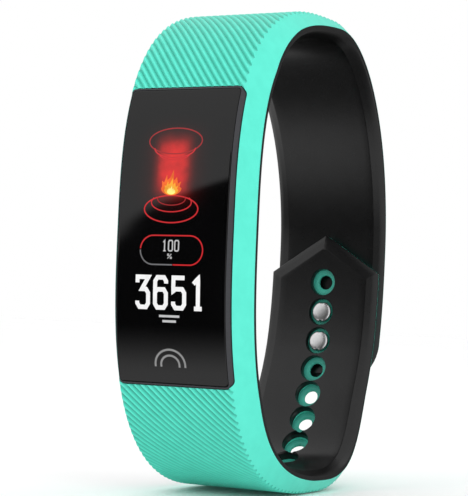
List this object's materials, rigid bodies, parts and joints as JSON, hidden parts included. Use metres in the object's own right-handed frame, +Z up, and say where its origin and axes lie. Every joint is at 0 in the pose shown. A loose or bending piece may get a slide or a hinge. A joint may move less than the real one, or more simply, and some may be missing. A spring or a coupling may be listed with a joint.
{
  "type": "fitness tracker band",
  "caption": "Buckled two-layer silicone wrist band with a push-out display pod, a studded clasp arm and a holed tongue arm.",
  "frame": {"origin": "on the wrist axis, where the ring outline's quarters meet", "axes": "+X across the band along the wrist, -Y the way the display faces, +Z up along the display towards the clasp arm"},
  "size_m": [0.0206, 0.0502, 0.0664],
  "materials": {
    "outer_silicone": "satin moulded silicone, ribbed",
    "inner_silicone": "matte moulded silicone",
    "lens_glass": "polished, dark printed back",
    "frame_metal": "satin dark grey",
    "clasp_steel": "polished turned steel",
    "case_plastic": "fine spark texture",
    "gasket_rubber": "soft black",
    "panel_glass": "dark display stack",
    "copper_film": "thin copper on film",
    "bracket_plastic": "moulded",
    "board_laminate": "green solder mask",
    "chip_resin": "moulded resin",
    "antenna_ceramic": "fired ceramic",
    "screw_steel": "bright",
    "battery_foil": "foil pouch",
    "lead_plastic": "insulated lead",
    "motor_steel": "drawn can",
    "weight_metal": "sintered",
    "led_resin": "clear green",
    "diode_silicon": "dark blue",
    "window_resin": "dark clear window",
    "pin_gold": "gold plated"
  },
  "bodies": {
    "band": {"band_outer": "outer_silicone", "band_liner": "inner_silicone"},
    "upper_link": {"upper_link_outer": "outer_silicone", "upper_link_liner": "inner_silicone"},
    "clasp_arm": {"clasp_arm_outer": "outer_silicone", "clasp_arm_liner": "inner_silicone", "clasp_plate": "clasp_steel", "clasp_studs": "clasp_steel"},
    "tongue_arm": {"tongue_outer": "outer_silicone", "tongue_liner": "inner_silicone", "hole_lips": "outer_silicone"},
    "pod": {"lens": "lens_glass", "pod_frame": "frame_metal", "case_gasket": "gasket_rubber", "rear_case": "case_plastic", "display_panel": "panel_glass", "touch_film": "copper_film", "display_bracket": "bracket_plastic", "display_flex": "copper_film", "main_board": "board_laminate", "processor_chip": "chip_resin", "board_chips": "chip_resin", "radio_antenna": "antenna_ceramic", "board_screws": "screw_steel", "battery": "battery_foil", "battery_lead": "lead_plastic", "motor_can": "motor_steel", "sensor_board": "board_laminate", "sensor_leds": "led_resin", "photodiode": "diode_silicon", "sensor_window": "window_resin", "charge_pins": "pin_gold"},
    "motor_rotor": {"motor_shaft": "motor_steel", "motor_weight": "weight_metal"}
  },
  "joints": [
    {"name": "clasp_lift", "type": "hinge", "parent": "band", "child": "upper_link", "pos_m": [0, 0.01297, 0.02478], "axis": [1, 0, 0], "range_deg": [0, 40], "stiffness_Nm_per_rad": 0.02, "deforming": ["hole_lips"]},
    {"name": "clasp_peel", "type": "hinge", "parent": "upper_link", "child": "clasp_arm", "pos_m": [0, 0.02047, 0.00704], "axis": [1, 0, 0], "range_deg": [0, 50], "stiffness_Nm_per_rad": 0.01},
    {"name": "tongue_drop", "type": "hinge", "parent": "band", "child": "tongue_arm", "pos_m": [0, 0.00217, -0.03484], "axis": [1, 0, 0], "range_deg": [-18, 0], "stiffness_Nm_per_rad": 0.03},
    {"name": "pod_push_out", "type": "slide", "parent": "band", "child": "pod", "axis": [0, -1, 0], "range_m": [0, 0.012]},
    {"name": "motor_spin", "type": "hinge", "parent": "pod", "child": "motor_rotor", "pos_m": [0, -0.0235, -0.013], "axis": [1, 0, 0], "continuous": true}
  ],
  "couplings": [
    {"joint": "clasp_peel", "follows": "clasp_lift", "ratio": 1.25},
    {"joint": "tongue_drop", "follows": "clasp_lift", "ratio": -0.45}
  ]
}
